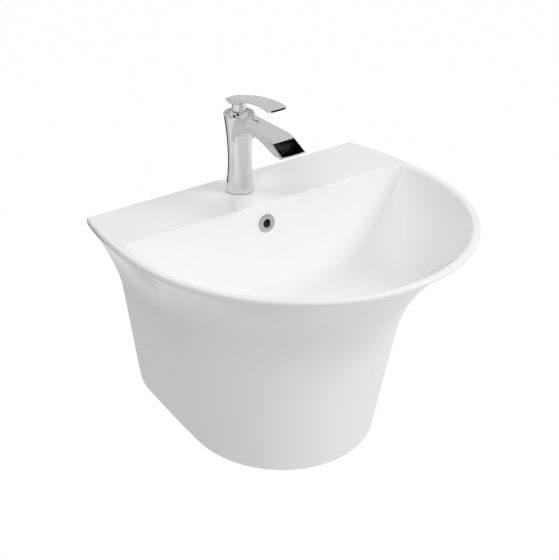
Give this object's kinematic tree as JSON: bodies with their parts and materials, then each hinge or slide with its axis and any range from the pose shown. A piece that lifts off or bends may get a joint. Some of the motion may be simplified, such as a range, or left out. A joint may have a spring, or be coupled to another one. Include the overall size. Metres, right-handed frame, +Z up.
{
  "type": "wall hung basin",
  "caption": "Wall hung basin in one piece of white china with a half-pedestal shroud and a D-shaped bowl, with a single-lever spout tap, push plug waste and bottle trap.",
  "frame": {"origin": "middle of the two wall bolt holes, on the plane of the wall", "axes": "+Z up, +Y into the wall, -Y towards the user, +X to the right for someone facing the wall"},
  "size_m": [0.5599, 0.52, 0.5564],
  "materials": {
    "vitreous_china": "glossy white glaze",
    "chrome": "polished chrome plate on brass",
    "chrome_plastic": "chromed plastic",
    "brass": "machined",
    "stainless_steel": "turned stainless steel",
    "zinc_steel": "zinc plated",
    "black_rubber": "matt",
    "white_foam": "closed-cell foam",
    "white_plastic": "satin moulded",
    "grey_plastic": "moulded"
  },
  "bodies": {
    "basin": {"basin_body": "vitreous_china", "wall_bolt_bushes": "white_plastic", "overflow_ring": "chrome", "tap_body": "chrome", "tap_base_gasket": "black_rubber", "tap_clamp_washer": "black_rubber", "tap_clamp_plate": "zinc_steel", "tap_studs": "zinc_steel", "tap_stud_nuts": "zinc_steel", "outlet_insert": "grey_plastic", "cartridge_body": "white_plastic", "cartridge_seals": "black_rubber", "cartridge_nut": "brass", "waste_body": "chrome", "waste_top_seal": "white_foam", "waste_lower_seal": "black_rubber", "waste_back_nut": "brass", "click_housing": "white_plastic", "trap_union_seal": "black_rubber", "trap_inlet_tube": "white_plastic", "trap_union_nut": "white_plastic", "trap_top_seal": "black_rubber", "trap_top_nut": "white_plastic", "trap_body": "white_plastic", "trap_cup_seal": "black_rubber", "trap_cup": "white_plastic", "trap_outlet_seal": "black_rubber", "trap_outlet_tube": "white_plastic", "trap_outlet_nut": "white_plastic", "wall_rosette": "white_plastic"},
    "mixer_swivel": {"cartridge_carrier": "grey_plastic", "lever_pivot_pin": "stainless_steel", "dome_cap": "chrome"},
    "lever": {"lever_handle": "chrome", "cartridge_stem": "stainless_steel", "lever_screw": "stainless_steel", "lever_screw_cover": "chrome_plastic"},
    "plug": {"plug_cap": "chrome", "plug_seal": "black_rubber", "plug_stem": "brass"}
  },
  "joints": [
    {"name": "swivel", "type": "hinge", "parent": "basin", "child": "mixer_swivel", "pos_m": [0, -0.0485, 0.2], "axis": [0, 0, 1], "range_deg": [-45, 45]},
    {"name": "lift", "type": "hinge", "parent": "mixer_swivel", "child": "lever", "pos_m": [0, -0.0485, 0.2175], "axis": [-1, 0, 0], "range_deg": [0, 22]},
    {"name": "plug_travel", "type": "slide", "parent": "basin", "child": "plug", "axis": [0, 0, 1], "range_m": [-0.0075, 0], "stiffness_N_per_m": 600, "springref_m": 0.005}
  ]
}
